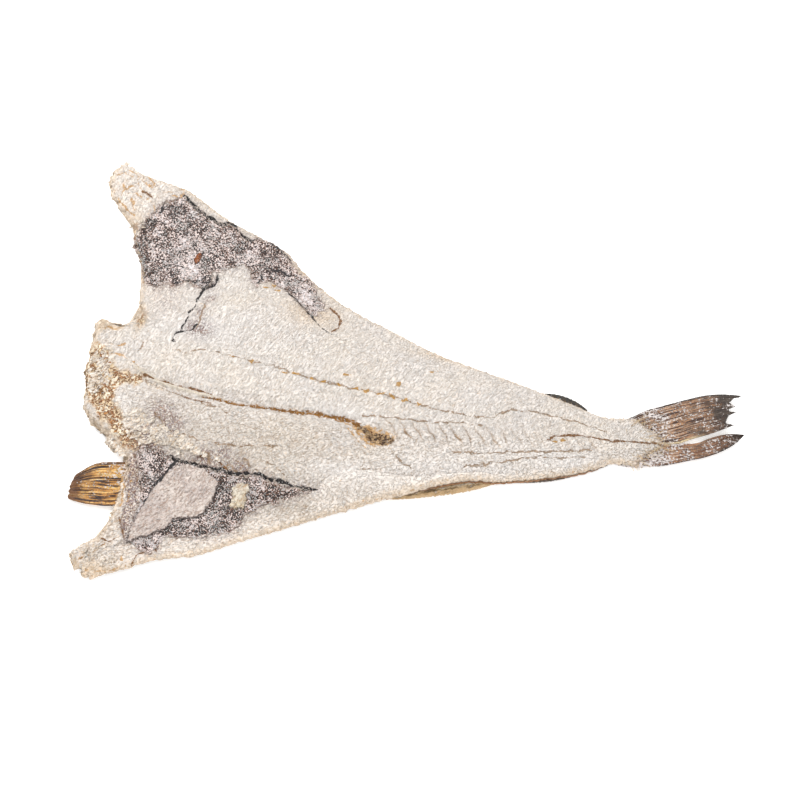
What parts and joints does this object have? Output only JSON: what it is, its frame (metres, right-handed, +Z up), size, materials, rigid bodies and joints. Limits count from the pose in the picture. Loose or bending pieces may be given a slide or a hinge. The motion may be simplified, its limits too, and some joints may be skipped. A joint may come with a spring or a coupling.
{
  "type": "salted dried cod",
  "caption": "Whole salted dried cod without its head, split open and laid flesh side up, with curled belly flaps, dark belly membranes and its fins.",
  "frame": {"origin": "middle of the fish's box at the height of the surface that it lies on", "axes": "+X along the backbone to the tail, +Y across the fish to the curled flap, +Z up from the skin side to the flesh side"},
  "size_m": [0.7071, 0.4889, 0.0513],
  "materials": {
    "flesh": "matte",
    "skin": "matte",
    "fin": "matte",
    "membrane": "matte",
    "salt": "satin"
  },
  "bodies": {
    "root": {"split_cod": "flesh"}
  },
  "joints": []
}
